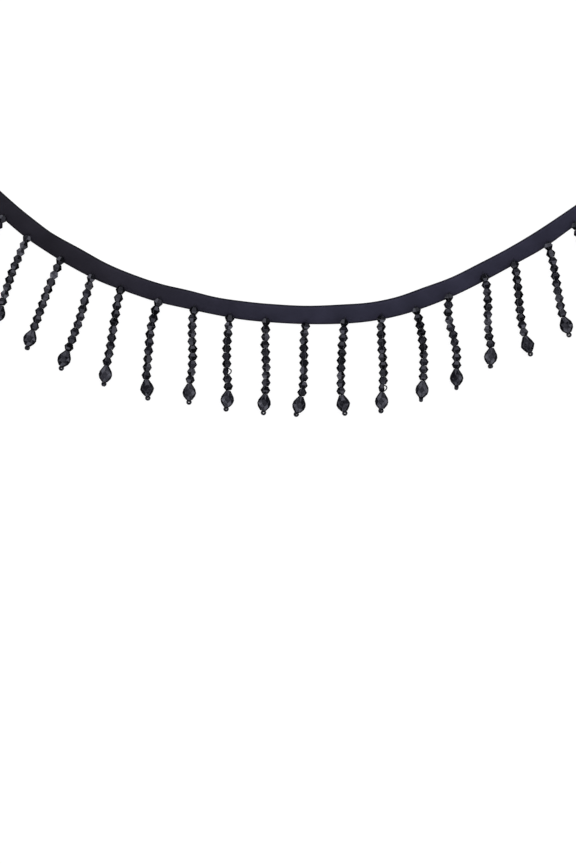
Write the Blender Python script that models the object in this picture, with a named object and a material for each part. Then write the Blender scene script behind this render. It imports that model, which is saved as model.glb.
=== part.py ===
"""Beaded fringe trim: a ribbon tape laid in a shallow bow, with strands of beads sewn along its outer edge.

The trim lies face up on the plane z = 0. The origin is on the back of the tape, in the middle of its length and
width. +X runs along the tape, +Y points away from the fringe. The tables and sizes are in millimetres, and MM
turns them into Blender's metres.
"""

import math
from collections import namedtuple

import bmesh
import bpy
from mathutils import Vector

MM = 0.001

# The tape: a ribbon that is as thick as two layers of satin.
TAPE_THICKNESS = 1.0
TAPE_STEPS = 110

# The sewn edge of the tape carries the strands, and is parted from the rest of it.
SEWN_EDGE_WIDTH = 2.4
PARTING = 0.3

# The tape's middle line and width at places along its length.
Section = namedtuple("Section", "x y width")
TAPE_SECTIONS = (
    Section(-164, 67.5, 10.0),
    Section(-150, 54.8, 10.2),
    Section(-140, 46.5, 10.5),
    Section(-130, 39.3, 10.2),
    Section(-115, 30.5, 11.0),
    Section(-100, 22.5, 10.5),
    Section(-85, 16.5, 10.0),
    Section(-70, 11.5, 10.0),
    Section(-55, 8.0, 10.0),
    Section(-40, 4.5, 9.5),
    Section(-25, 2.0, 10.0),
    Section(-10, 0.5, 10.0),
    Section(10, -0.5, 10.0),
    Section(30, 0.0, 10.5),
    Section(45, 1.3, 10.2),
    Section(60, 4.4, 10.2),
    Section(75, 9.5, 10.5),
    Section(90, 15.4, 9.8),
    Section(105, 22.9, 9.7),
    Section(120, 30.9, 9.4),
    Section(135, 39.5, 9.8),
    Section(150, 49.8, 9.1),
    Section(165, 60.2, 9.0),
)

# The bead strands. edge_x is where a strand leaves the tape's edge, root is how far below the edge its first
# bicone is widest, less than zero where that is over the tape, and pitch is the step from bicone to bicone. The
# rest are the degrees by which the strand leans from straight down, towards +X, at its top, half way, at its last
# bicone, along its drop and at its seed bead.
Strand = namedtuple("Strand", "edge_x root pitch top middle low drop seed")
STRANDS = (
    Strand(-154.0, 0.3, 4.10, -34, -28, -22, -24, -18),
    Strand(-141.0, 0.0, 4.05, -26, -21, -15, -18, -15),
    Strand(-123.0, 0.0, 4.25, -24, -21, -19, -20, -10),
    Strand(-106.4, 0.3, 4.35, -14, -17, -22, -23, -8),
    Strand(-90.6, 0.4, 4.35, -13, -8, -12, -7, -18),
    Strand(-70.2, 0.2, 4.45, -21, -5, -4, 5, 1),
    Strand(-50.9, 0.2, 4.15, -9, 4, -13, -1, -6),
    Strand(-31.5, 0.4, 4.10, -9, -1, 6, -6, -12),
    Strand(-12.0, -0.1, 4.10, -4, 3, -4, -8, 8),
    Strand(9.4, 1.0, 4.00, -9, 3, -11, -14, -25),
    Strand(30.3, -0.5, 4.10, -7, -3, 3, 11, 10),
    Strand(50.2, -0.2, 4.15, -2, 6, -8, -2, -8),
    Strand(69.2, 0.2, 4.00, 16, 5, -5, -6, -4),
    Strand(86.6, -0.4, 4.10, -6, 18, -6, 2, -6),
    Strand(106.2, -1.5, 4.00, 12, -2, 14, -6, 14),
    Strand(122.1, 0.1, 4.10, 11, 3, 15, 17, 26),
    Strand(140.3, 0.7, 4.10, 18, 7, 14, 20, 12),
    Strand(155.0, 0.2, 4.10, 22, 14, 16, 20, 18),
)
BICONES = 10
BICONE_LENGTH = 3.95
BICONE_RADIUS = 2.35
END_RADIUS = 0.95

# A strand is six-sided and lies on a flat side, so its lowest face is this share of its radius below its middle.
FLAT_SIDE = math.cos(math.pi / 6)
BICONE_HEIGHT = BICONE_RADIUS * FLAT_SIDE

# How deep the first bicone, which lies on the tape's edge, sinks into it.
ROOT_SINK = 0.25

# Rings of the drop and of the seed bead under it, from the end of the last bicone. The drop's belly lies on the
# table, and both its ends stand a little over it.
Ring = namedtuple("Ring", "along radius height")
DROP_LENGTH = 8.9
TAIL = (
    Ring(0.2, END_RADIUS, 2.15),
    Ring(2.7, 2.3, 2.6),
    Ring(5.1, 3.3, 3.3 * FLAT_SIDE),
    Ring(7.5, 2.2, 2.5),
    Ring(DROP_LENGTH, 1.0, 1.9),
    Ring(9.3, 1.3, 1.6),
    Ring(10.3, 1.5, 1.5 * FLAT_SIDE),
    Ring(11.4, 0.9, 1.3),
)
WALK_STEP = 0.25

RIBBON_COLOUR = (0.026, 0.025, 0.038, 1.0)
BEAD_COLOUR = (0.012, 0.012, 0.015, 1.0)


def start_empty():
    """Removes what the scene holds and returns the collections of the trim and of the shapes joined into it."""
    for old in list(bpy.data.objects):
        bpy.data.objects.remove(old)
    made = []
    for name in ("beaded_fringe_trim", "joined_shapes"):
        collection = bpy.data.collections.new(name)
        bpy.context.scene.collection.children.link(collection)
        made.append(collection)
    return made


def finish(name, colour, roughness):
    """A material with the piece's own colour and roughness."""
    material = bpy.data.materials.new(name)
    material.use_nodes = True
    shader = material.node_tree.nodes["Principled BSDF"]
    shader.inputs["Base Color"].default_value = colour
    shader.inputs["Roughness"].default_value = roughness
    shader.inputs["Metallic"].default_value = 0.0
    return material


def slope_at(column, i):
    """The rise of a column of the tape's table at row i, from the rows beside it."""
    before = TAPE_SECTIONS[max(i - 1, 0)]
    after = TAPE_SECTIONS[min(i + 1, len(TAPE_SECTIONS) - 1)]
    return (getattr(after, column) - getattr(before, column)) / (after.x - before.x)


def along_tape(column, x):
    """A column of the tape's table at x, on a smooth curve through its rows."""
    i = 0
    while i < len(TAPE_SECTIONS) - 2 and x > TAPE_SECTIONS[i + 1].x:
        i += 1
    a, b = TAPE_SECTIONS[i], TAPE_SECTIONS[i + 1]
    span = b.x - a.x
    t = (x - a.x) / span
    return (
        (2 * t**3 - 3 * t**2 + 1) * getattr(a, column)
        + (t**3 - 2 * t**2 + t) * span * slope_at(column, i)
        + (3 * t**2 - 2 * t**3) * getattr(b, column)
        + (t**3 - t**2) * span * slope_at(column, i + 1)
    )


def on_tape(x, from_edge):
    """The point on the tape across from the middle line at x, from_edge inside the edge that carries the strands."""
    reach = 0.5
    rise = along_tape("y", x + reach) - along_tape("y", x - reach)
    away = Vector((-rise, 2 * reach)).normalized()
    middle = Vector((x, along_tape("y", x)))
    return middle + away * (from_edge - along_tape("width", x) / 2)


def edge_point(edge_x):
    """The point of the tape's sewn edge that has this x."""
    x = edge_x
    for _ in range(12):
        x += edge_x - on_tape(x, 0).x
    return on_tape(x, 0)


def tape_length_solid(name, inner, outer, collection, material):
    """A strip of the tape's length as a solid. inner and outer give the distances of its two long sides from the
    sewn edge at a place x."""
    first, last = TAPE_SECTIONS[0].x, TAPE_SECTIONS[-1].x
    places = [first + (last - first) * i / TAPE_STEPS for i in range(TAPE_STEPS + 1)]
    outline = [on_tape(x, inner(x)) for x in places]
    outline += [on_tape(x, outer(x)) for x in reversed(places)]
    curve = bpy.data.curves.new(name, "CURVE")
    curve.dimensions = "2D"
    curve.fill_mode = "BOTH"
    curve.extrude = TAPE_THICKNESS / 2 * MM
    spline = curve.splines.new("POLY")
    spline.points.add(len(outline) - 1)
    for point, place in zip(spline.points, outline):
        point.co = (place.x * MM, place.y * MM, 0.0, 1.0)
    spline.use_cyclic_u = True
    flat = bpy.data.objects.new(name, curve)
    flat.location.z = TAPE_THICKNESS / 2 * MM
    collection.objects.link(flat)
    return as_mesh(flat, collection, material)


def as_mesh(source, collection, material):
    """The same object as a closed mesh, in place of the curve."""
    bpy.context.view_layer.update()
    evaluated = source.evaluated_get(bpy.context.evaluated_depsgraph_get())
    mesh = bpy.data.meshes.new_from_object(evaluated)
    name, place = source.name, source.matrix_world.copy()
    bpy.data.objects.remove(source)
    shape = bmesh.new()
    shape.from_mesh(mesh)
    bmesh.ops.remove_doubles(shape, verts=shape.verts, dist=1e-6)
    bmesh.ops.recalc_face_normals(shape, faces=shape.faces)
    shape.to_mesh(mesh)
    shape.free()
    mesh.materials.clear()
    mesh.materials.append(material)
    made = bpy.data.objects.new(name, mesh)
    made.matrix_world = place
    collection.objects.link(made)
    return made


def drop_start(strand):
    """How far along a strand its last bicone ends and its drop begins."""
    return strand.root + (BICONES - 1) * strand.pitch + BICONE_LENGTH / 2


def lean_at(strand, along):
    """The strand's lean in radians at a distance along it."""
    share = along / drop_start(strand)
    if along > drop_start(strand) + DROP_LENGTH:
        lean = strand.seed
    elif share > 1:
        lean = strand.drop
    elif share > 0.5:
        lean = strand.middle + (strand.low - strand.middle) * (2 * share - 1)
    else:
        lean = strand.top + (strand.middle - strand.top) * max(2 * share, 0)
    return math.radians(lean)


def walk(strand, stops):
    """The points in plan at the given distances along a strand, the first of which may lie over the tape."""
    place = edge_point(strand.edge_x)
    along, points = 0.0, []
    for stop in stops:
        while abs(stop - along) > 1e-9:
            step = max(-WALK_STEP, min(WALK_STEP, stop - along))
            lean = lean_at(strand, along + step / 2)
            place = place + Vector((math.sin(lean), -math.cos(lean))) * step
            along += step
        points.append(place)
    return points


def root_height(strand):
    """The height of the first bicone's middle line: it lies on the tape with the widest part that is over it."""
    narrowing = (BICONE_RADIUS - END_RADIUS) / (BICONE_LENGTH / 2)
    over_tape = BICONE_RADIUS - narrowing * max(strand.root, 0.0)
    return TAPE_THICKNESS + over_tape * FLAT_SIDE - ROOT_SINK


def strand_rings(strand):
    """The rings of a strand: the first bicone's upper end, each bicone's belly with the waist under it, the tail."""
    heights = [root_height(strand)] + [BICONE_HEIGHT] * (BICONES - 1)
    rings = [Ring(strand.root - BICONE_LENGTH / 2, END_RADIUS, heights[0])]
    for i, height in enumerate(heights):
        belly = strand.root + i * strand.pitch
        rings.append(Ring(belly, BICONE_RADIUS, height))
        if i < BICONES - 1:
            rings.append(Ring(belly + strand.pitch / 2, END_RADIUS, (height + heights[i + 1]) / 2))
    return rings + [ring._replace(along=drop_start(strand) + ring.along) for ring in TAIL]


def bead_strand(strand, name, collection, material):
    """One strand, as a six-sided tube that swells at each bead."""
    rings = strand_rings(strand)
    places = walk(strand, [ring.along for ring in rings])
    curve = bpy.data.curves.new(name, "CURVE")
    curve.dimensions = "3D"
    curve.twist_mode = "Z_UP"
    curve.bevel_depth = MM
    curve.bevel_resolution = 1
    curve.use_fill_caps = True
    spline = curve.splines.new("POLY")
    spline.points.add(len(rings) - 1)
    for point, place, ring in zip(spline.points, places, rings):
        point.co = (place.x * MM, place.y * MM, ring.height * MM, 1.0)
        point.radius = ring.radius
    tube = bpy.data.objects.new(name, curve)
    collection.objects.link(tube)
    return as_mesh(tube, collection, material)


def bead_fringe(trim, joined, material):
    """The tape's sewn edge with every strand joined to it at its root."""
    edge = tape_length_solid(
        "bead_fringe", lambda x: 0.0, lambda x: SEWN_EDGE_WIDTH, trim, material
    )
    strands = [
        bead_strand(strand, f"strand_{i + 1:02d}", joined, material)
        for i, strand in enumerate(STRANDS)
    ]
    together = bmesh.new()
    for strand in strands:
        together.from_mesh(strand.data)
        bpy.data.objects.remove(strand)
    mesh = bpy.data.meshes.new("all_strands")
    together.to_mesh(mesh)
    together.free()
    all_strands = bpy.data.objects.new("all_strands", mesh)
    all_strands.hide_render = True
    all_strands.display_type = "WIRE"
    joined.objects.link(all_strands)
    union = edge.modifiers.new("strands", "BOOLEAN")
    union.operation = "UNION"
    union.object = all_strands
    return edge


def main():
    trim, joined = start_empty()
    ribbon = finish("ribbon", RIBBON_COLOUR, 0.6)
    beads = finish("beads", BEAD_COLOUR, 0.2)
    tape_length_solid(
        "ribbon_tape",
        lambda x: SEWN_EDGE_WIDTH + PARTING,
        lambda x: along_tape("width", x),
        trim,
        ribbon,
    )
    bead_fringe(trim, joined, beads)


main()
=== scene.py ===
"""Beaded fringe trim: a black ribbon tape laid in a shallow bow, with short strands of faceted beads along its edge.

Lengths in the tables are in millimetres. The trim lies on the table at height 0, its face up and its fringe to -Y.
"""

import math
import random
from collections import namedtuple

import bmesh
import bpy
from mathutils import Matrix, Vector


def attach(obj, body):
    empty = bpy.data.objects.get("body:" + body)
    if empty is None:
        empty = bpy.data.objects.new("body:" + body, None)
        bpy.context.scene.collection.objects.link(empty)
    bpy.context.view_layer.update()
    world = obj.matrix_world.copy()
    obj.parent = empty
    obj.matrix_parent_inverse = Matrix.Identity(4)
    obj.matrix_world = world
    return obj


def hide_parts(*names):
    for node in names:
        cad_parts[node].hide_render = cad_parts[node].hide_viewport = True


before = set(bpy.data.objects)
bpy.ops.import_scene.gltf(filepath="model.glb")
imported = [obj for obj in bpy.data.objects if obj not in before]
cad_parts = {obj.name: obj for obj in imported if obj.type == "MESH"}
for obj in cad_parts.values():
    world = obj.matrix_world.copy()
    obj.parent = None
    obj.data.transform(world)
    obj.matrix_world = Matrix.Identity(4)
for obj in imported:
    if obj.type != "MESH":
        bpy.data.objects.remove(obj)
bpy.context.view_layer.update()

bl_info = {
    "name": "Beaded fringe trim",
    "version": (1, 0, 0),
    "blender": (4, 5, 0),
    "location": "View3D > Sidebar > Trim",
    "description": "Models a ribbon tape with a fringe of bead strands, laid in a bow on a table",
    "category": "Add Mesh",
}

MM = 0.001

# The tape's middle line and width from left to right.
Section = namedtuple("Section", "x y width")
TAPE_SECTIONS = (
    Section(-164, 67.5, 10.0),
    Section(-150, 54.8, 10.2),
    Section(-140, 46.5, 10.5),
    Section(-130, 39.3, 10.2),
    Section(-115, 30.5, 11.0),
    Section(-100, 22.5, 10.5),
    Section(-85, 16.5, 10.0),
    Section(-70, 11.5, 10.0),
    Section(-55, 8.0, 10.0),
    Section(-40, 4.5, 9.5),
    Section(-25, 2.0, 10.0),
    Section(-10, 0.5, 10.0),
    Section(10, -0.5, 10.0),
    Section(30, 0.0, 10.5),
    Section(45, 1.3, 10.2),
    Section(60, 4.4, 10.2),
    Section(75, 9.5, 10.5),
    Section(90, 15.4, 9.8),
    Section(105, 22.9, 9.7),
    Section(120, 30.9, 9.4),
    Section(135, 39.5, 9.8),
    Section(150, 49.8, 9.1),
    Section(165, 60.2, 9.0),
)

# One row a strand. edge_x is where it leaves the tape's edge, root how far its first bicone lies below that edge,
# pitch the step from bicone to bicone. Top, middle, low, drop and seed are the strand's lean in degrees, to +X, on
# its way down. Nod and roll turn the seed bead's hole from upright, towards the drop and to the side.
Strand = namedtuple("Strand", "edge_x root pitch top middle low drop seed nod roll")
STRANDS = (
    Strand(-154.0, 0.3, 4.10, -34, -28, -22, -24, -18, 30, 10),
    Strand(-141.0, 0.0, 4.05, -26, -21, -15, -18, -15, 15, 25),
    Strand(-123.0, 0.0, 4.25, -24, -21, -19, -20, -10, 60, 0),
    Strand(-106.4, 0.3, 4.35, -14, -17, -22, -23, -8, 10, 10),
    Strand(-90.6, 0.4, 4.35, -13, -8, -12, -7, -18, 0, 40),
    Strand(-70.2, 0.2, 4.45, -21, -5, -4, 5, 1, 0, 20),
    Strand(-50.9, 0.2, 4.15, -9, 4, -13, -1, -6, 5, 0),
    Strand(-31.5, 0.4, 4.10, -9, -1, 6, -6, -12, 15, 10),
    Strand(-12.0, -0.1, 4.10, -4, 3, -4, -8, 8, 0, 0),
    Strand(9.4, 1.0, 4.00, -9, 3, -11, -14, -25, 15, 20),
    Strand(30.3, -0.5, 4.10, -7, -3, 3, 11, 10, 5, 0),
    Strand(50.2, -0.2, 4.15, -2, 6, -8, -2, -8, 10, 20),
    Strand(69.2, 0.2, 4.00, 16, 5, -5, -6, -4, 0, 80),
    Strand(86.6, -0.4, 4.10, -6, 18, -6, 2, -6, 0, 75),
    Strand(106.2, -1.5, 4.00, 12, -2, 14, -6, 14, 65, 10),
    Strand(122.1, 0.1, 4.10, 11, 3, 15, 17, 26, 10, 0),
    Strand(140.3, 0.7, 4.10, 18, 7, 14, 20, 12, 5, 5),
    Strand(155.0, 0.2, 4.10, 22, 14, 16, 20, 18, 20, 15),
)
BICONES = 10
BICONE_HALF = 3.95 / 2
WALK_STEP = 0.25

# The turn about its thread that lays a six-sided bicone on a flat side.
FLAT_DOWN = math.radians(30)
ROOT_DIP = math.radians(9)

# Bicones beside which the thread has slipped out in a small loop, that reaches this far to +X.
Slip = namedtuple("Slip", "strand bicone aside narrower reach")
SLIPS = (
    Slip(8, 8, 0.55, 0.66, 2.35),
    Slip(12, 10, 0.55, 0.66, 2.35),
)

# The line of that loop: the share of half a bicone from its middle down, the share of the reach, and the height.
SlipPoint = namedtuple("SlipPoint", "down out height")
SLIP_LINE = (
    SlipPoint(-1.0, 0.05, 2.3),
    SlipPoint(-0.75, 0.45, 2.7),
    SlipPoint(-0.5, 0.85, 2.4),
    SlipPoint(-0.15, 1.0, 2.1),
    SlipPoint(0.35, 0.85, 2.0),
    SlipPoint(0.75, 0.5, 2.1),
    SlipPoint(1.0, 0.05, 2.2),
)

# The drop from its neck to its lower end. Turned rings stand half a facet round from the others.
DropRing = namedtuple("DropRing", "along radius turned")
DROP_RINGS = (
    DropRing(0.0, 1.3, False),
    DropRing(3.3, 3.35, True),
    DropRing(5.2, 3.85, False),
    DropRing(7.0, 3.2, True),
    DropRing(9.0, 1.6, False),
)
DROP_SIDES = 8

# How far the drop's neck, its end and the seed bead's middle lie below the last bicone's end.
DROP_GAP = 0.15
DROP_END = 8.9
SEED_REACH = 10.2

# Soft dips and rises along the tape, by x, with how wide each is and how much it changes: each lifts or lowers the
# tape's face a little, and also darkens or lightens its colour there as painted shade or painted light.
RippleShadeSpot = namedtuple("RippleShadeSpot", "x reach change")
TAPE_RIPPLES_AND_SHADES = (
    RippleShadeSpot(-128, 5, -0.20),
    RippleShadeSpot(-92, 14, 0.15),
    RippleShadeSpot(-74, 6, -0.10),
    RippleShadeSpot(-30, 5, -0.10),
    RippleShadeSpot(30, 5, -0.10),
    RippleShadeSpot(68, 6, -0.10),
    RippleShadeSpot(92, 7, 0.10),
    RippleShadeSpot(136, 5, -0.15),
)

# How light the ribbon is across its width, from the sewn edge to the outer one: a thin line of painted shade along
# each side and a lighter line inside the outer line.
RibbonShade = namedtuple("RibbonShade", "share value")
RIBBON_SHADES = (
    RibbonShade(0.03, 0.4),
    RibbonShade(0.1, 0.95),
    RibbonShade(0.5, 1.0),
    RibbonShade(0.8, 1.05),
    RibbonShade(0.88, 1.2),
    RibbonShade(0.95, 0.5),
)


class TapeSettings(bpy.types.PropertyGroup):
    """Sizes and colours of the ribbon tape."""

    thickness: bpy.props.FloatProperty(
        name="Thickness",
        description="Height of the tape's face over the table",
        default=0.00095,
        min=0.0002,
        unit="LENGTH",
    )
    edge_height: bpy.props.FloatProperty(
        name="Edge height",
        description="Height of the tape's face beside its woven edges",
        default=0.0007,
        min=0.0001,
        unit="LENGTH",
    )
    ripple: bpy.props.FloatProperty(
        name="Ripple",
        description="Height of the soft waves along the tape",
        default=0.00022,
        min=0.0,
        unit="LENGTH",
    )
    rib: bpy.props.FloatProperty(
        name="Rib spacing",
        description="Distance between the fine ribs across the tape",
        default=0.00036,
        min=0.00005,
        unit="LENGTH",
    )
    # Painted light and shade: the ribbon's colour runs from a darker, greyer one at its left end to a lighter, bluer
    # one at its right, as if lit from the right.
    shaded_left_colour: bpy.props.FloatVectorProperty(
        name="Colour at the left",
        description="Colour of the ribbon at its left end",
        default=(0.0173, 0.0157, 0.0208),
        size=3,
        min=0.0,
        max=1.0,
        subtype="COLOR",
    )
    lit_right_colour: bpy.props.FloatVectorProperty(
        name="Colour at the right",
        description="Colour of the ribbon at its right end",
        default=(0.0265, 0.0256, 0.0406),
        size=3,
        min=0.0,
        max=1.0,
        subtype="COLOR",
    )


class BeadSettings(bpy.types.PropertyGroup):
    """Sizes and colours of the bicones, drops and seed beads."""

    bicone_length: bpy.props.FloatProperty(
        name="Bicone length",
        description="Length of a bicone along the thread",
        default=0.00395,
        min=0.001,
        unit="LENGTH",
    )
    bicone_radius: bpy.props.FloatProperty(
        name="Bicone radius",
        description="Radius of a bicone at its belly",
        default=0.00275,
        min=0.001,
        unit="LENGTH",
    )
    bicone_end: bpy.props.FloatProperty(
        name="Bicone end radius",
        description="Radius of a bicone's flat ends",
        default=0.0015,
        min=0.0006,
        unit="LENGTH",
    )
    hole_radius: bpy.props.FloatProperty(
        name="Hole radius",
        description="Radius of the hole for the thread",
        default=0.00042,
        min=0.0002,
        unit="LENGTH",
    )
    facet_edge: bpy.props.FloatProperty(
        name="Facet edge",
        description="Width of the worn edge between two facets",
        default=0.00011,
        min=0.0,
        unit="LENGTH",
    )
    seed_radius: bpy.props.FloatProperty(
        name="Seed bead radius",
        description="Outer radius of the seed bead that stops the thread",
        default=0.00148,
        min=0.0005,
        unit="LENGTH",
    )
    looseness: bpy.props.FloatProperty(
        name="Looseness",
        description="How far a bead may lean off its strand",
        default=math.radians(4),
        min=0.0,
        subtype="ANGLE",
    )
    dark_colour: bpy.props.FloatVectorProperty(
        name="Darkest bead",
        description="Colour of the darkest beads",
        default=(0.0016, 0.0016, 0.0020),
        size=3,
        min=0.0,
        max=1.0,
        subtype="COLOR",
    )
    light_colour: bpy.props.FloatVectorProperty(
        name="Lightest bead",
        description="Colour of the lightest beads",
        default=(0.0088, 0.0086, 0.0116),
        size=3,
        min=0.0,
        max=1.0,
        subtype="COLOR",
    )


class ThreadSettings(bpy.types.PropertyGroup):
    """Size and colour of the beading thread."""

    radius: bpy.props.FloatProperty(
        name="Thread radius",
        description="Radius of the beading thread",
        default=0.00022,
        min=0.00005,
        unit="LENGTH",
    )
    twist: bpy.props.FloatProperty(
        name="Twist length",
        description="Length of thread in which its strands turn once",
        default=0.0012,
        min=0.0002,
        unit="LENGTH",
    )
    colour: bpy.props.FloatVectorProperty(
        name="Thread colour",
        description="Colour of the beading thread",
        default=(0.013, 0.013, 0.016),
        size=3,
        min=0.0,
        max=1.0,
        subtype="COLOR",
    )


class StageSettings(bpy.types.PropertyGroup):
    """The table, the lamps and the camera."""

    table: bpy.props.FloatProperty(
        name="Table size",
        description="Length of each side of the table top",
        default=6.0,
        min=1.0,
        unit="LENGTH",
    )
    camera_height: bpy.props.FloatProperty(
        name="Camera height",
        description="Height of the camera over the table",
        default=2.592,
        min=0.3,
        unit="LENGTH",
    )
    lens: bpy.props.FloatProperty(
        name="Lens",
        description="Focal length of the camera",
        default=200.0,
        min=10.0,
        unit="CAMERA",
    )
    key_power: bpy.props.FloatProperty(
        name="Overhead lamp",
        description="Power of the large soft lamp over the table",
        default=12.0,
        min=0.0,
        unit="POWER",
    )
    room: bpy.props.FloatProperty(
        name="Room light",
        description="Strength of the light that the room throws back",
        default=0.45,
        min=0.0,
    )


def tape_slope(column, i):
    """The rise of a column of the tape's table at row i, from the rows beside it."""
    before = TAPE_SECTIONS[max(i - 1, 0)]
    after = TAPE_SECTIONS[min(i + 1, len(TAPE_SECTIONS) - 1)]
    return (getattr(after, column) - getattr(before, column)) / (after.x - before.x)


def along_tape(column, x):
    """A column of the tape's table at x, on a smooth curve through its rows."""
    i = 0
    while i < len(TAPE_SECTIONS) - 2 and x > TAPE_SECTIONS[i + 1].x:
        i += 1
    a, b = TAPE_SECTIONS[i], TAPE_SECTIONS[i + 1]
    span = b.x - a.x
    t = (x - a.x) / span
    return (
        (2 * t**3 - 3 * t**2 + 1) * getattr(a, column)
        + (t**3 - 2 * t**2 + t) * span * tape_slope(column, i)
        + (3 * t**2 - 2 * t**3) * getattr(b, column)
        + (t**3 - t**2) * span * tape_slope(column, i + 1)
    )


def on_tape(x, from_edge):
    """The point on the tape across from the middle line at x, from_edge inside the edge that carries the strands."""
    reach = 0.5
    rise = along_tape("y", x + reach) - along_tape("y", x - reach)
    away = Vector((-rise, 2 * reach)).normalized()
    middle = Vector((x, along_tape("y", x)))
    return middle + away * (from_edge - along_tape("width", x) / 2)


def tape_size():
    """The tape's mean width and its length along the middle line, in metres, as it lies flat."""
    steps = 300
    first, last = TAPE_SECTIONS[0].x, TAPE_SECTIONS[-1].x
    places = [first + (last - first) * i / steps for i in range(steps + 1)]
    line = [Vector((x, along_tape("y", x))) for x in places]
    length = sum((b - a).length for a, b in zip(line, line[1:]))
    width = sum(along_tape("width", x) for x in places) / len(places)
    return width * MM, length * MM


def middle_x(edge_x):
    """The x on the middle line that lies across from the sewn edge's point with this x."""
    x = edge_x
    for _ in range(12):
        x += edge_x - on_tape(x, 0).x
    return x


def root_places():
    """Where each strand is sewn on, in plan."""
    return [on_tape(middle_x(strand.edge_x), 0.6) for strand in STRANDS]


def drop_start(strand):
    """How far along a strand its last bicone ends and its drop begins."""
    return strand.root + (BICONES - 1) * strand.pitch + BICONE_HALF


def lean_at(strand, along):
    """The strand's lean in radians at a distance along it."""
    share = along / drop_start(strand)
    if along > drop_start(strand) + DROP_END:
        lean = strand.seed
    elif share > 1:
        lean = strand.drop
    elif share > 0.5:
        lean = strand.middle + (strand.low - strand.middle) * (2 * share - 1)
    else:
        lean = strand.top + (strand.middle - strand.top) * max(2 * share, 0)
    return math.radians(lean)


def walk(strand, stops):
    """The points in plan at the given distances along a strand, the first of which may lie over the tape."""
    place = on_tape(middle_x(strand.edge_x), 0)
    along, points = 0.0, []
    for stop in stops:
        while abs(stop - along) > 1e-9:
            step = max(-WALK_STEP, min(WALK_STEP, stop - along))
            lean = lean_at(strand, along + step / 2)
            place = place + Vector((math.sin(lean), -math.cos(lean))) * step
            along += step
        points.append(place)
    return points


def clear_selection():
    """Leaves edit mode and deselects everything, so that the next operator acts on its own piece alone."""
    if bpy.context.mode != "OBJECT":
        bpy.ops.object.mode_set(mode="OBJECT")
    bpy.ops.object.select_all(action="DESELECT")


def select_where(kind, test):
    """Selects in edit mode the vertices, edges or faces that pass the test, and nothing else."""
    bpy.ops.mesh.select_mode(type={"verts": "VERT", "edges": "EDGE", "faces": "FACE"}[kind])
    bpy.ops.mesh.select_all(action="DESELECT")
    mesh = bpy.context.edit_object.data
    shape = bmesh.from_edit_mesh(mesh)
    for element in getattr(shape, kind):
        if test(element):
            element.select_set(True)
    shape.select_flush_mode()
    bmesh.update_edit_mesh(mesh)


def is_end(face):
    """Whether a face is one of a bead's two flat ends."""
    return abs(face.normal.z) > 0.95


def drill_hole(end_radius, hole_radius):
    """Opens the hole for the thread through the bead in edit mode, from one flat end to the other."""
    select_where("faces", is_end)
    bpy.ops.mesh.inset(thickness=end_radius - hole_radius, use_individual=True)
    bpy.ops.mesh.bridge_edge_loops()


def soften_facets(width, hole_radius):
    """Bevels the edges between the facets of the bead in edit mode, but not its hole's."""

    def outside(edge):
        return min(vertex.co.xy.length for vertex in edge.verts) > hole_radius * 1.3

    select_where("edges", outside)
    bpy.ops.mesh.bevel(offset=width, segments=1, affect="EDGES")


def model_bicone(beads):
    """The bicone at the origin, its thread along Z."""
    clear_selection()
    half = beads.bicone_length / 2
    bpy.ops.mesh.primitive_cylinder_add(vertices=6, radius=beads.bicone_radius, depth=2 * half)
    bicone = bpy.context.active_object
    bicone.name = "bicone_pattern"
    bpy.ops.object.mode_set(mode="EDIT")
    bpy.ops.mesh.select_all(action="SELECT")
    bpy.ops.mesh.bisect(plane_co=(0, 0, 0), plane_no=(0, 0, 1))
    narrow = beads.bicone_end / beads.bicone_radius
    for side in (-1, 1):
        select_where("verts", lambda vertex: vertex.co.z * side > half * 0.9)
        bpy.ops.transform.resize(value=(narrow, narrow, 1), center_override=(0, 0, side * half))
    drill_hole(beads.bicone_end * math.cos(math.pi / 6), beads.hole_radius)
    soften_facets(beads.facet_edge, beads.hole_radius)
    bpy.ops.object.mode_set(mode="OBJECT")
    return bicone


def model_drop(beads):
    """The drop with its neck at the origin, its thread along Z."""
    clear_selection()
    first, rest = DROP_RINGS[0], DROP_RINGS[1:]
    reach = rest[0].along * MM
    bpy.ops.mesh.primitive_cylinder_add(
        vertices=DROP_SIDES, radius=first.radius * MM, depth=reach, location=(0, 0, reach / 2)
    )
    drop = bpy.context.active_object
    drop.name = "drop_pattern"
    bpy.ops.object.transform_apply(location=True)
    bpy.ops.object.mode_set(mode="EDIT")
    before = first
    for ring in rest:
        top = ring.along * MM
        if ring is not rest[0]:
            step = (ring.along - before.along) * MM
            bpy.ops.mesh.extrude_region_move(TRANSFORM_OT_translate={"value": (0, 0, step)})
        else:
            select_where("verts", lambda vertex: vertex.co.z > top * 0.9)
        widen = ring.radius / (first.radius if ring is rest[0] else before.radius)
        turn = math.pi / DROP_SIDES * (1 if ring.turned else -1)
        bpy.ops.transform.resize(value=(widen, widen, 1), center_override=(0, 0, top))
        bpy.ops.transform.rotate(value=turn, orient_axis="Z", center_override=(0, 0, top))
        before = ring
    select_where("faces", lambda face: not is_end(face))
    bpy.ops.mesh.quads_convert_to_tris(quad_method="SHORTEST_DIAGONAL")
    drill_hole(before.radius * MM * math.cos(math.pi / DROP_SIDES), beads.hole_radius)
    soften_facets(beads.facet_edge, beads.hole_radius)
    bpy.ops.object.mode_set(mode="OBJECT")
    return drop


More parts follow.
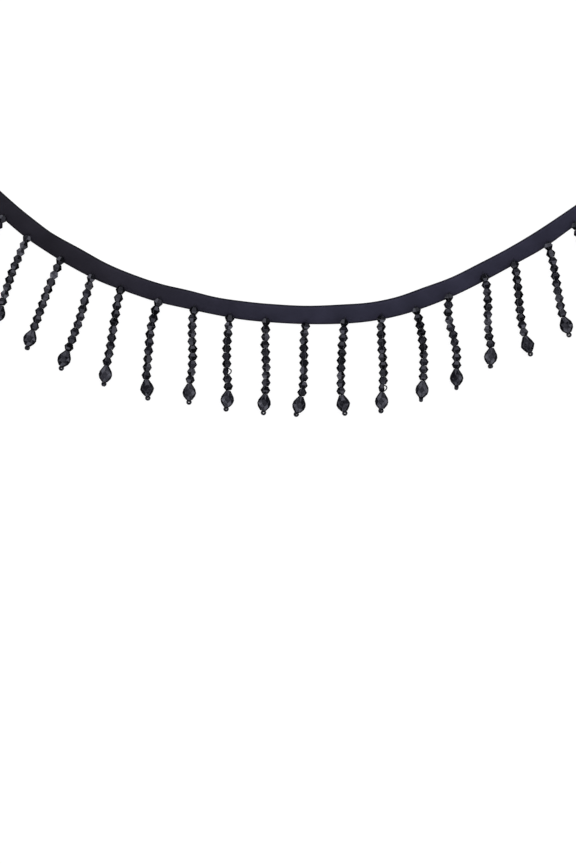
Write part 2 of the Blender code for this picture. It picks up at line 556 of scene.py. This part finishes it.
def model_seed_bead(beads):
    """The seed bead at the origin, its hole along Z: a ring that is longer along its hole than thick."""
    clear_selection()
    tube = beads.seed_radius * 0.4
    bpy.ops.mesh.primitive_torus_add(
        major_segments=24, minor_segments=12, major_radius=beads.seed_radius - tube, minor_radius=tube
    )
    seed = bpy.context.active_object
    seed.name = "seed_bead_pattern"
    bpy.ops.object.mode_set(mode="EDIT")
    bpy.ops.mesh.select_all(action="SELECT")
    bpy.ops.transform.resize(value=(1, 1, 1.75), center_override=(0, 0, 0))
    select_where("verts", lambda vertex: abs(vertex.co.z) > tube * 1.3)
    bpy.ops.transform.resize(value=(1, 1, 0.93), center_override=(0, 0, 0))
    bpy.ops.object.mode_set(mode="OBJECT")
    bpy.ops.object.shade_smooth()
    return seed


def lay_copy(pattern, place, away, roll, tone, rest=0.0, longer=1.0):
    """A copy of a bead with its own mesh, its thread along away and its lowest corner at the height rest."""
    copy = pattern.copy()
    copy.data = pattern.data.copy()
    bpy.context.collection.objects.link(copy)
    turned = away.to_track_quat("Z", "Y").to_matrix().to_4x4() @ Matrix.Rotation(roll, 4, "Z")
    copy.data.transform(turned @ Matrix.Diagonal((1, 1, longer, 1)))
    lowest = min(vertex.co.z for vertex in copy.data.vertices)
    height = rest - lowest
    copy.data.transform(Matrix.Translation((place.x, place.y, height)))
    attribute = copy.data.attributes.new("bead_tone", "FLOAT", "POINT")
    attribute.data.foreach_set("value", [tone] * len(copy.data.vertices))
    return copy, Vector((place.x, place.y, height))


def join_as(name, parts):
    """One object of that name from several."""
    clear_selection()
    for part in parts:
        part.select_set(True)
    bpy.context.view_layer.objects.active = parts[0]
    bpy.ops.object.join()
    joined = bpy.context.active_object
    joined.name = name
    joined.data.name = name
    return joined


def new_group(name, inputs, outputs):
    """An empty shader node group with its named float inputs and outputs."""
    group = bpy.data.node_groups.new(name, "ShaderNodeTree")
    for label, kind in inputs:
        group.interface.new_socket(label, in_out="INPUT", socket_type=kind)
    for label, kind in outputs:
        group.interface.new_socket(label, in_out="OUTPUT", socket_type=kind)
    return group, group.nodes.new("NodeGroupInput"), group.nodes.new("NodeGroupOutput")


def uneven_finish_group():
    """Slow unevenness and fine grain, as a mask for colour and roughness and as a height."""
    known = bpy.data.node_groups.get("uneven_finish")
    if known:
        return known
    group, given, made = new_group(
        "uneven_finish",
        (
            ("Vector", "NodeSocketVector"),
            ("Slow scale", "NodeSocketFloat"),
            ("Fine scale", "NodeSocketFloat"),
            ("Fine share", "NodeSocketFloat"),
        ),
        (("Mask", "NodeSocketFloat"), ("Height", "NodeSocketFloat")),
    )
    link = group.links.new
    slow = group.nodes.new("ShaderNodeTexNoise")
    fine = group.nodes.new("ShaderNodeTexNoise")
    slow.inputs["Detail"].default_value = 2.0
    fine.inputs["Detail"].default_value = 3.0
    link(given.outputs["Vector"], slow.inputs["Vector"])
    link(given.outputs["Vector"], fine.inputs["Vector"])
    link(given.outputs["Slow scale"], slow.inputs["Scale"])
    link(given.outputs["Fine scale"], fine.inputs["Scale"])
    mask = group.nodes.new("ShaderNodeMix")
    mask.data_type = "FLOAT"
    link(given.outputs["Fine share"], mask.inputs["Factor"])
    link(slow.outputs["Fac"], mask.inputs["A"])
    link(fine.outputs["Fac"], mask.inputs["B"])
    link(mask.outputs["Result"], made.inputs["Mask"])
    link(mask.outputs["Result"], made.inputs["Height"])
    return group


class Finish:
    """Builds one material around a Principled shader."""

    def __init__(self, name):
        self.material = bpy.data.materials.new(name)
        self.material.use_nodes = True
        self.tree = self.material.node_tree
        self.shader = self.tree.nodes["Principled BSDF"]

    def node(self, kind, **values):
        made = self.tree.nodes.new(kind)
        for key, value in values.items():
            setattr(made, key, value)
        return made

    def link(self, source, target):
        self.tree.links.new(source, target)

    def fill(self, socket, value):
        """Links a socket, or sets it to a number."""
        if isinstance(value, bpy.types.NodeSocket):
            self.link(value, socket)
        else:
            socket.default_value = value

    def attribute(self, name):
        return self.node("ShaderNodeAttribute", attribute_name=name).outputs["Fac"]

    def sum(self, operation, a, b, clamp=False):
        """A Math node."""
        made = self.node("ShaderNodeMath", operation=operation, use_clamp=clamp)
        self.fill(made.inputs[0], a)
        self.fill(made.inputs[1], b)
        return made.outputs[0]

    def blend(self, factor, a, b, way="MIX"):
        """A colour mix."""
        made = self.node("ShaderNodeMix", data_type="RGBA", blend_type=way)
        self.fill(made.inputs["Factor"], factor)
        self.fill(made.inputs["A"], a)
        self.fill(made.inputs["B"], b)
        return made.outputs["Result"]

    def uneven(self, vector, slow, fine, share):
        """The shared unevenness, with this finish's own scales."""
        made = self.node("ShaderNodeGroup", node_tree=uneven_finish_group())
        self.link(vector, made.inputs["Vector"])
        made.inputs["Slow scale"].default_value = slow
        made.inputs["Fine scale"].default_value = fine
        made.inputs["Fine share"].default_value = share
        return made.outputs["Mask"], made.outputs["Height"]

    def bump(self, height, strength, distance, normal=None):
        made = self.node("ShaderNodeBump")
        made.inputs["Strength"].default_value = strength
        made.inputs["Distance"].default_value = distance
        self.link(height, made.inputs["Height"])
        if normal:
            self.link(normal, made.inputs["Normal"])
        return made.outputs["Normal"]

    def set(self, **values):
        """Constant values, set on the shader's own sockets."""
        for key, value in values.items():
            self.shader.inputs[key.replace("_", " ")].default_value = value


def colour(value):
    """A colour property as a socket's four numbers."""
    return (*value, 1.0)


def ribbon_finish(tape):
    """Black ribbon: fine ribs across, painted shade along both edges, one lighter line beside the outer edge, and
    painted light and shade along its length.
    """
    finish = Finish("black_ribbon")
    split = finish.node("ShaderNodeSeparateXYZ")
    uv = finish.node("ShaderNodeUVMap", uv_map="ribbon_length").outputs["UV"]
    finish.link(uv, split.inputs[0])
    across = finish.attribute("across")
    along = finish.attribute("along")
    tone = finish.attribute("tape_tone")
    ribs = finish.sum("SINE", finish.sum("MULTIPLY", split.outputs["X"], 2 * math.pi / tape.rib), 0.0)
    warp = finish.sum("SINE", finish.sum("MULTIPLY", split.outputs["Y"], 2 * math.pi / 0.0005), 0.0)
    place = finish.node("ShaderNodeTexCoord").outputs["Object"]
    mask, grain = finish.uneven(place, 90.0, 2600.0, 0.35)
    # Painted shade across the ribbon: darker lines along both edges and a lighter line inside the outer edge.
    shade = finish.node("ShaderNodeValToRGB")
    edges = shade.color_ramp
    edges.elements[0].position = 0.0
    edges.elements[0].color = (0.55, 0.55, 0.55, 1)
    edges.elements[1].position = 1.0
    edges.elements[1].color = (0.5, 0.5, 0.5, 1)
    for position, value in RIBBON_SHADES:
        edges.elements.new(position).color = (value, value, value, 1)
    finish.link(across, shade.inputs["Fac"])
    turn = finish.node("ShaderNodeMapRange", interpolation_type="SMOOTHSTEP")
    finish.link(along, turn.inputs["Value"])
    turn.inputs["From Min"].default_value = 0.1
    turn.inputs["From Max"].default_value = 0.6
    # Painted light and shade along the tape: the colour blends from the shaded left end to the lit right end.
    base = finish.blend(turn.outputs["Result"], colour(tape.shaded_left_colour), colour(tape.lit_right_colour))
    lit = finish.blend(1.0, base, shade.outputs["Color"], "MULTIPLY")
    # The ribbon's colour times the ripples' painted shade and light and its own unevenness.
    ripple_shade_and_unevenness = finish.sum("MULTIPLY", tone, finish.sum("ADD", finish.sum("MULTIPLY", mask, 0.8), 0.6))
    tinted = finish.node("ShaderNodeCombineColor")
    for channel in ("Red", "Green", "Blue"):
        finish.link(ripple_shade_and_unevenness, tinted.inputs[channel])
    finish.link(finish.blend(1.0, lit, tinted.outputs["Color"], "MULTIPLY"), finish.shader.inputs["Base Color"])
    finish.link(finish.sum("ADD", finish.sum("MULTIPLY", mask, 0.15), 0.52), finish.shader.inputs["Roughness"])
    weave = finish.sum("ADD", finish.sum("MULTIPLY", ribs, 0.6), finish.sum("MULTIPLY", warp, 0.25))
    soft = finish.bump(grain, 0.25, 0.00012)
    finish.link(finish.bump(weave, 0.35, 0.00005, soft), finish.shader.inputs["Normal"])
    finish.set(Specular_IOR_Level=0.07, Sheen_Weight=0.02, Sheen_Roughness=0.5)
    return finish.material


def bead_finish(beads):
    """Glossy black moulded beads, each a little lighter or darker than the next, the first bicone of each strand
    darker still with painted shade.
    """
    finish = Finish("glossy_black_beads")
    tone = finish.attribute("bead_tone")
    place = finish.node("ShaderNodeTexCoord").outputs["Object"]
    mask, height = finish.uneven(place, 450.0, 5200.0, 0.3)
    finish.link(
        finish.blend(tone, colour(beads.dark_colour), colour(beads.light_colour)),
        finish.shader.inputs["Base Color"],
    )
    rough = finish.sum("ADD", finish.sum("MULTIPLY", mask, 0.1), 0.03)
    finish.link(finish.sum("ADD", rough, finish.sum("MULTIPLY", tone, 0.06)), finish.shader.inputs["Roughness"])
    finish.link(finish.bump(height, 0.4, 0.00012), finish.shader.inputs["Normal"])
    finish.set(IOR=1.5, Specular_Tint=(0.93, 0.92, 1.0, 1))
    return finish.material


def thread_finish(thread):
    """Twisted black beading thread."""
    finish = Finish("black_beading_thread")
    split = finish.node("ShaderNodeSeparateXYZ")
    uv = finish.node("ShaderNodeUVMap", uv_map="thread_length").outputs["UV"]
    finish.link(uv, split.inputs[0])
    turns = finish.sum("MULTIPLY", split.outputs["X"], 2 * math.pi / thread.twist)
    around = finish.sum("MULTIPLY", split.outputs["Y"], 4 * math.pi)
    twist = finish.sum("SINE", finish.sum("ADD", turns, around), 0.0)
    place = finish.node("ShaderNodeTexCoord").outputs["Object"]
    mask, height = finish.uneven(place, 800.0, 9000.0, 0.5)
    dark = colour([0.5 * channel for channel in thread.colour])
    finish.link(finish.blend(mask, dark, colour(thread.colour)), finish.shader.inputs["Base Color"])
    soft = finish.bump(height, 0.3, 0.00004)
    finish.link(finish.bump(twist, 0.6, 0.00005, soft), finish.shader.inputs["Normal"])
    finish.link(finish.sum("ADD", finish.sum("MULTIPLY", mask, 0.2), 0.5), finish.shader.inputs["Roughness"])
    finish.set(Specular_IOR_Level=0.3)
    return finish.material


def dress(piece, material, slot, *nodes):
    """Gives a finished piece its material and tells the frame what it belongs to."""
    piece.data.materials.clear()
    piece.data.materials.append(material)
    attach(piece, "root")
    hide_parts(*nodes)


def material_named(name, build, settings):
    """The material of that name, built the first time that it is asked for."""
    return bpy.data.materials.get(name) or build(settings)


def tape_top(x, share, tape, roots):
    """The height in metres of the tape's face, at x and at this share of its width from the sewn edge."""
    from_side = min(share, 1 - share) * along_tape("width", x)
    crown = 1 - math.exp(-((from_side / 1.1) ** 2))
    height = tape.edge_height + (tape.thickness - tape.edge_height) * crown
    wave = math.sin(x / 4.3 + 2.1 * share) + 0.6 * math.sin(x / 2.6 - 1.7 * share + 1.0)
    height += tape.ripple * 0.25 * wave * crown
    for spot in TAPE_RIPPLES_AND_SHADES:
        height += tape.ripple * 3 * spot.change * math.exp(-(((x - spot.x) / spot.reach) ** 2)) * crown
    place = on_tape(x, share * along_tape("width", x))
    for root in roots:
        away = (place - root).length
        if away < 5:
            height -= 0.00022 * math.exp(-((away / 1.7) ** 2))
    return height


def root_rest(strand, tape, roots):
    """The height in metres of the lowest corner of a strand's first bicone, which lies against the tape's edge."""
    inside = max(0.3, -strand.root)
    share = inside / along_tape("width", middle_x(strand.edge_x))
    face = tape_top(middle_x(strand.edge_x), share, tape, roots)
    return max(0.0, face - (0.1 + 0.76 * (inside + strand.root)) * MM)


class TRIM_OT_ribbon_tape(bpy.types.Operator):
    """Lay the ribbon tape as one closed, thin sheet with softly rounded edges"""

    bl_idname = "trim.ribbon_tape"
    bl_label = "Ribbon tape"

    def execute(self, context):
        tape = context.scene.trim_tape
        roots = root_places()
        steps = 360
        face = [i / 20 for i in range(21)]
        face = [0.5 - 0.5 * math.cos(math.pi * share) for share in face]
        back = [0.98, 0.7, 0.3, 0.02]
        first, last = TAPE_SECTIONS[0].x, TAPE_SECTIONS[-1].x
        rows, length, before = [], 0.0, None
        for i in range(steps + 1):
            x = first + (last - first) * i / steps
            width = along_tape("width", x)
            middle = on_tape(x, width / 2)
            length += (middle - before).length if before else 0.0
            before = middle
            ring = []
            for share in face:
                rounding = 0.75 if share in (face[0], face[-1]) else 1.0
                ring.append((share, tape_top(x, share, tape, roots) * rounding))
            ring += [(share, 0.0) for share in back]
            rows.append((x, width, length, ring))
        shape = bmesh.new()
        uv = shape.loops.layers.uv.new("ribbon_length")
        layers = {name: shape.verts.layers.float.new(name) for name in ("across", "along", "tape_tone")}
        lengths, grid = {}, []
        for x, width, reach, ring in rows:
            # Painted shade and painted light of the ripples, kept on each vertex for the ribbon's colour.
            tone = 1.0 + sum(
                spot.change * math.exp(-(((x - spot.x) / spot.reach) ** 2)) for spot in TAPE_RIPPLES_AND_SHADES
            )
            line = []
            for share, height in ring:
                place = on_tape(x, share * width)
                vertex = shape.verts.new((place.x * MM, place.y * MM, height))
                vertex[layers["across"]] = share
                vertex[layers["along"]] = (x - first) / (last - first)
                vertex[layers["tape_tone"]] = tone
                lengths[vertex] = (reach * MM, share * width * MM)
                line.append(vertex)
            grid.append(line)
        for here, there in zip(grid, grid[1:]):
            for j in range(len(here)):
                k = (j + 1) % len(here)
                shape.faces.new((here[j], there[j], there[k], here[k]))
        shape.faces.new(grid[0])
        shape.faces.new(list(reversed(grid[-1])))
        for face_made in shape.faces:
            face_made.smooth = True
            for loop in face_made.loops:
                loop[uv].uv = lengths[loop.vert]
        bmesh.ops.recalc_face_normals(shape, faces=shape.faces)
        mesh = bpy.data.meshes.new("ribbon_tape_cloth")
        shape.to_mesh(mesh)
        shape.free()
        cloth = bpy.data.objects.new("ribbon_tape_cloth", mesh)
        context.scene.collection.objects.link(cloth)
        clear_selection()
        cloth.select_set(True)
        context.view_layer.objects.active = cloth
        bpy.ops.object.shade_smooth_by_angle(angle=math.radians(60))
        dress(
            cloth,
            material_named("black_ribbon", ribbon_finish, tape),
            "ribbon",
            "ribbon_tape",
            "bead_fringe",
        )
        return {"FINISHED"}


class TRIM_OT_bead_strands(bpy.types.Operator):
    """Model a bicone, a drop and a seed bead once, and string copies of them into the strands"""

    bl_idname = "trim.bead_strands"
    bl_label = "Bead strands"

    def execute(self, context):
        beads = context.scene.trim_beads
        bicone = model_bicone(beads)
        drop = model_drop(beads)
        seed = model_seed_bead(beads)
        finish = material_named("glossy_black_beads", bead_finish, beads)
        for number, strand in enumerate(STRANDS, 1):
            chance = random.Random(4100 + number)
            parts = self.lay_bicones(number, strand, bicone, beads, chance)
            parts += self.lay_tail(strand, drop, seed, chance)
            made = join_as(f"bead_strand_{number:02d}", parts)
            dress(made, finish, "beads", "bead_fringe")
        for pattern in (bicone, drop, seed):
            bpy.data.objects.remove(pattern)
        return {"FINISHED"}

    def lay_bicones(self, number, strand, bicone, beads, chance):
        """The bicones from the tape down. The first lies on the tape's edge and tips down to the next."""
        parts = []
        tape = bpy.context.scene.trim_tape
        roots = root_places()
        half = beads.bicone_length / MM / 2
        longer = (strand.pitch - 0.04) / (2 * half)
        for i in range(BICONES):
            middle = strand.root + i * strand.pitch
            upper, here, lower = walk(strand, (middle - half, middle, middle + half))
            along = (lower - upper).normalized()
            yaw = chance.gauss(0, beads.looseness * 0.6)
            dip = chance.gauss(0, beads.looseness * 0.4)
            if i == 0:
                dip = -ROOT_DIP
            away = Vector((along.x, along.y, 0))
            away.rotate(Matrix.Rotation(yaw, 3, "Z"))
            away = (away * math.cos(dip) + Vector((0, 0, math.sin(dip)))).normalized()
            rest = root_rest(strand, tape, roots) if i == 0 else 0.0
            sideways = Vector((along.y, -along.x)) * chance.gauss(0, 0.08)
            place = (here + sideways) * MM
            roll = (0 if i == 0 else FLAT_DOWN) + chance.gauss(0, math.radians(15))
            # Each bead's tone differs at random; the first bicone's is cut to a third as painted shade where it lies
            # against the tape's edge.
            tone = chance.random() ** 1.5 * (0.3 if i == 0 else 1.0)
            part, middle_point = lay_copy(bicone, place, away, roll, tone, rest, longer)
            for slip in SLIPS:
                if (slip.strand, slip.bicone) == (number, i + 1):
                    self.press_aside(part, middle_point, slip)
            parts.append(part)
        return parts

    def press_aside(self, part, middle, slip):
        """Moves a bicone away from a slipped thread, and makes it as much narrower as the narrower bead there is."""
        narrow = Matrix.Translation(middle) @ Matrix.Diagonal((slip.narrower, 1, 1, 1)) @ Matrix.Translation(-middle)
        part.data.transform(Matrix.Translation((-slip.aside * MM, 0, 0)) @ narrow)

    def lay_tail(self, strand, drop, seed, chance):
        """The drop, and the seed bead turned as the strand's table says."""
        start = drop_start(strand)
        neck, end, centre = walk(strand, (start + DROP_GAP, start + DROP_END - 0.05, start + SEED_REACH))
        along = (end - neck).normalized()
        away = Vector((along.x, along.y, math.tan(math.radians(2)))).normalized()
        hung, _ = lay_copy(drop, neck * MM, away, chance.uniform(0, math.pi / 4), chance.uniform(0.4, 1.0))
        lean = math.radians(strand.seed)
        down = Vector((math.sin(lean), -math.cos(lean), 0))
        side = Vector((-down.y, down.x, 0))
        hole = Vector((0, 0, 1))
        hole.rotate(Matrix.Rotation(math.radians(strand.nod), 3, side))
        hole.rotate(Matrix.Rotation(math.radians(strand.roll), 3, down))
        stopper, _ = lay_copy(seed, centre * MM, hole, 0.0, chance.random(), rest=0.0003)
        return [hung, stopper]


class TRIM_OT_beading_threads(bpy.types.Operator):
    """Run a thread through each strand: stitched into the tape, down the beads and round the seed bead"""

    bl_idname = "trim.beading_threads"
    bl_label = "Beading threads"

    def execute(self, context):
        thread = context.scene.trim_thread
        finish = material_named("black_beading_thread", thread_finish, thread)
        for number, strand in enumerate(STRANDS, 1):
            made = self.tube(f"bead_thread_{number:02d}", self.route(strand), thread)
            for slip in SLIPS:
                if slip.strand == number:
                    loop = self.tube("slipped_loop", self.slipped_loop(strand, slip), thread, 1.6)
                    made = join_as(made.name, [made, loop])
            dress(made, finish, "ribbon", "bead_fringe")
        return {"FINISHED"}

    def slipped_loop(self, strand, slip):
        """The points in metres of the thread that has slipped out beside a bicone, from waist to waist."""
        middle = strand.root + (slip.bicone - 1) * strand.pitch
        points = []
        for share, out, height in SLIP_LINE:
            place = walk(strand, (middle + share * BICONE_HALF,))[0]
            points.append(Vector((place.x + out * slip.reach, place.y, height)) * MM)
        return points

    def route(self, strand):
        """The points in metres that a strand's thread follows."""
        points = []
        stops = [strand.root - 3.4, strand.root - 2.9, strand.root - 2.2, strand.root - 1.9]
        root = root_rest(strand, bpy.context.scene.trim_tape, root_places()) / MM + 2.64
        heights = [0.55, 1.1, root - 0.2, root + 0.3]
        for place, height in zip(walk(strand, stops), heights):
            points.append(Vector((place.x, place.y, height)))
        stops = [strand.root, strand.root + 1.9]
        heights = [root, root - 0.3]
        for i in range(1, BICONES):
            stops.append(strand.root + i * strand.pitch)
            heights.append(2.4)
        start = drop_start(strand)
        stops += [start - 0.4, start + 0.2, start + 4, start + DROP_END]
        heights += [2.5, 3.3, 3.5, 3.65]
        for place, height in zip(walk(strand, stops), heights):
            points.append(Vector((place.x, place.y, height)))
        centre = walk(strand, (start + SEED_REACH,))[0]
        lean = math.radians(strand.seed)
        down = Vector((math.sin(lean), -math.cos(lean), 0))
        side = Vector((-down.y, down.x, 0))
        hole = Vector((0, 0, 1))
        toward = -down
        for turn, axis in ((strand.nod, side), (strand.roll, down)):
            hole.rotate(Matrix.Rotation(math.radians(turn), 3, axis))
            toward.rotate(Matrix.Rotation(math.radians(turn), 3, axis))
        middle = Vector((centre.x, centre.y, 1.2))
        for out, up in ((1.15, 1.0), (0.35, 0.95), (0.22, 0.0), (0.35, -0.85), (1.1, -0.95), (1.75, -0.3)):
            points.append(middle + toward * out + hole * up)
        points.append(points[-7] + Vector((0.1, 0.0, -0.1)))
        return [point * MM for point in points]

    def tube(self, name, points, thread, thicker=1.0):
        """A round tube of the thread's thickness along a smooth line through the points."""
        line = smooth_line(points, 6)
        sides = 8
        shape = bmesh.new()
        uv = shape.loops.layers.uv.new("thread_length")
        rings, reach = [], 0.0
        across = Vector((0, 0, 1))
        for i, point in enumerate(line):
            ahead = line[min(i + 1, len(line) - 1)] - line[max(i - 1, 0)]
            ahead.normalize()
            across = (across - ahead * across.dot(ahead)).normalized()
            beside = ahead.cross(across)
            if i:
                reach += (point - line[i - 1]).length
            ring = []
            for k in range(sides):
                angle = 2 * math.pi * k / sides
                offset = across * math.cos(angle) + beside * math.sin(angle)
                ring.append(shape.verts.new(point + offset * thread.radius * thicker))
            rings.append((ring, reach))
        for (here, near), (there, far) in zip(rings, rings[1:]):
            for k in range(sides):
                nxt = (k + 1) % sides
                face = shape.faces.new((here[k], here[nxt], there[nxt], there[k]))
                corners = ((near, k), (near, k + 1), (far, k + 1), (far, k))
                for loop, (u, step) in zip(face.loops, corners):
                    loop[uv].uv = (u, step / sides)
                face.smooth = True
        shape.faces.new(list(reversed(rings[0][0])))
        shape.faces.new(rings[-1][0])
        bmesh.ops.recalc_face_normals(shape, faces=shape.faces)
        mesh = bpy.data.meshes.new(name)
        shape.to_mesh(mesh)
        shape.free()
        made = bpy.data.objects.new(name, mesh)
        bpy.context.scene.collection.objects.link(made)
        return made


def smooth_line(points, steps):
    """A smooth line through the points, with this many steps between two of them."""
    ends = [points[0], *points, points[-1]]
    line = []
    for a, b, c, d in zip(ends, ends[1:], ends[2:], ends[3:]):
        for i in range(steps):
            t = i / steps
            line.append(
                0.5 * ((2 * b) + (c - a) * t + (2 * a - 5 * b + 4 * c - d) * t**2 + (3 * b - a - 3 * c + d) * t**3)
            )
    return line + [points[-1].copy()]


class TRIM_OT_declare_cloth(bpy.types.Operator):
    bl_idname = "trim.declare_cloth"
    bl_label = "Cloth facts"

    def execute(self, context):
        tape_size()
        return {"FINISHED"}


class TRIM_OT_stage(bpy.types.Operator):
    """Set the pale table, the soft lamps, the room and the camera straight over the trim"""

    bl_idname = "trim.stage"
    bl_label = "Stage"

    def execute(self, context):
        stage = context.scene.trim_stage
        self.table(stage)
        self.room(stage)
        far = self.lamp("far_softbox", (0.2, 1.05, 1.45), 1.5, stage.key_power, (1.0, 1.0, 1.0))
        far.visible_glossy = False
        right = self.lamp("right_softbox", (1.5, 0.1, 0.75), 0.8, stage.key_power * 0.4, (0.86, 0.9, 1.0))
        right.visible_glossy = False
        self.lamp("left_softbox", (-1.5, -0.2, 0.7), 0.6, stage.key_power * 0.15, (1.0, 1.0, 0.98))
        self.camera(context, stage)
        context.scene.view_settings.view_transform = "Standard"
        return {"FINISHED"}

    def table(self, stage):
        clear_selection()
        bpy.ops.mesh.primitive_plane_add(size=stage.table, location=(0, 0, -0.0001))
        table = bpy.context.active_object
        table.name = "table"
        finish = Finish("pale_table")
        tree = finish.tree
        finish.set(Base_Color=(0.16, 0.16, 0.16, 1), Roughness=0.7, Emission_Color=(1, 1, 1, 1))
        finish.set(Emission_Strength=0.9, Specular_IOR_Level=0.0)
        seen = tree.nodes.new("ShaderNodeLightPath")
        dim = tree.nodes.new("ShaderNodeEmission")
        dim.inputs["Strength"].default_value = 0.02
        mix = tree.nodes.new("ShaderNodeMixShader")
        output = tree.nodes["Material Output"]
        finish.link(seen.outputs["Is Camera Ray"], mix.inputs["Fac"])
        finish.link(dim.outputs[0], mix.inputs[1])
        finish.link(finish.shader.outputs[0], mix.inputs[2])
        finish.link(mix.outputs[0], output.inputs["Surface"])
        table.data.materials.append(finish.material)

    def room(self, stage):
        """Soft light from all round, alike on opposite sides, in lighter and darker patches that the facets catch."""
        world = bpy.data.worlds.new("soft_room")
        bpy.context.scene.world = world
        world.use_nodes = True
        tree = world.node_tree
        link = tree.links.new
        back = tree.nodes["Background"]
        place = tree.nodes.new("ShaderNodeTexCoord").outputs["Generated"]
        alike = tree.nodes.new("ShaderNodeVectorMath")
        alike.operation = "ABSOLUTE"
        link(place, alike.inputs[0])
        patches = tree.nodes.new("ShaderNodeTexNoise")
        patches.inputs["Scale"].default_value = 3.6
        patches.inputs["Detail"].default_value = 1.0
        link(alike.outputs["Vector"], patches.inputs["Vector"])
        levels = tree.nodes.new("ShaderNodeValToRGB")
        levels.color_ramp.elements[0].position = 0.45
        levels.color_ramp.elements[0].color = (0.01, 0.01, 0.012, 1)
        levels.color_ramp.elements[1].position = 0.58
        levels.color_ramp.elements[1].color = (4.6, 4.65, 5.2, 1)
        link(patches.outputs["Fac"], levels.inputs["Fac"])
        split = tree.nodes.new("ShaderNodeSeparateXYZ")
        link(place, split.inputs[0])
        shades = levels.outputs["Color"]
        for axis, ends, shade in (("Y", (-0.9, 0.9), (1.1, 1.0)), ("Z", (0.45, 0.65), (1.0, 0.5))):
            fall = tree.nodes.new("ShaderNodeMapRange")
            link(split.outputs[axis], fall.inputs["Value"])
            fall.inputs["From Min"].default_value, fall.inputs["From Max"].default_value = ends
            fall.inputs["To Min"].default_value, fall.inputs["To Max"].default_value = shade
            scaled = tree.nodes.new("ShaderNodeVectorMath")
            scaled.operation = "SCALE"
            link(shades, scaled.inputs[0])
            link(fall.outputs["Result"], scaled.inputs["Scale"])
            shades = scaled.outputs["Vector"]
        seen = tree.nodes.new("ShaderNodeLightPath")
        mix = tree.nodes.new("ShaderNodeMix")
        mix.data_type = "RGBA"
        link(seen.outputs["Is Camera Ray"], mix.inputs["Factor"])
        link(shades, mix.inputs["A"])
        mix.inputs["B"].default_value = (1.25, 1.25, 1.25, 1)
        link(mix.outputs["Result"], back.inputs["Color"])
        back.inputs["Strength"].default_value = stage.room

    def lamp(self, name, place, size, power, tint):
        light = bpy.data.lights.new(name, "AREA")
        light.shape = "SQUARE"
        light.size = size
        light.energy = power
        light.color = tint
        lamp = bpy.data.objects.new(name, light)
        bpy.context.scene.collection.objects.link(lamp)
        lamp.location = place
        aim = Vector((0, -0.03, 0)) - Vector(place)
        lamp.rotation_euler = aim.to_track_quat("-Z", "Y").to_euler()
        return lamp

    def camera(self, context, stage):
        lens = bpy.data.cameras.new("camera")
        lens.lens = stage.lens
        lens.sensor_width = 36.0
        lens.clip_start = 0.01
        camera = bpy.data.objects.new("camera", lens)
        context.scene.collection.objects.link(camera)
        camera.location = (-0.00015, -0.0637, stage.camera_height)
        context.scene.camera = camera


class TRIM_PT_sidebar(bpy.types.Panel):
    """Lists the trim's pieces and their settings"""

    bl_idname = "TRIM_PT_sidebar"
    bl_label = "Beaded fringe trim"
    bl_space_type = "VIEW_3D"
    bl_region_type = "UI"
    bl_category = "Trim"

    def draw(self, context):
        scene = context.scene
        for title, settings, operators in (
            ("Ribbon tape", scene.trim_tape, ("trim.ribbon_tape", "trim.declare_cloth")),
            ("Beads", scene.trim_beads, ("trim.bead_strands",)),
            ("Thread", scene.trim_thread, ("trim.beading_threads",)),
            ("Stage", scene.trim_stage, ("trim.stage",)),
        ):
            box = self.layout.box()
            box.label(text=title)
            for name in settings.__annotations__:
                box.prop(settings, name)
            for operator in operators:
                box.operator(operator)


SETTINGS = (
    ("trim_tape", TapeSettings),
    ("trim_beads", BeadSettings),
    ("trim_thread", ThreadSettings),
    ("trim_stage", StageSettings),
)
OPERATORS = (
    TRIM_OT_ribbon_tape,
    TRIM_OT_bead_strands,
    TRIM_OT_beading_threads,
    TRIM_OT_declare_cloth,
    TRIM_OT_stage,
)


def register():
    for name, settings in SETTINGS:
        bpy.utils.register_class(settings)
        setattr(bpy.types.Scene, name, bpy.props.PointerProperty(type=settings))
    for operator in OPERATORS:
        bpy.utils.register_class(operator)
    bpy.utils.register_class(TRIM_PT_sidebar)


def unregister():
    bpy.utils.unregister_class(TRIM_PT_sidebar)
    for operator in reversed(OPERATORS):
        bpy.utils.unregister_class(operator)
    for name, settings in reversed(SETTINGS):
        delattr(bpy.types.Scene, name)
        bpy.utils.unregister_class(settings)


def main():
    register()
    bpy.ops.trim.ribbon_tape()
    bpy.ops.trim.bead_strands()
    bpy.ops.trim.beading_threads()
    bpy.ops.trim.declare_cloth()
    bpy.ops.trim.stage()


if __name__ == "__main__":
    main()
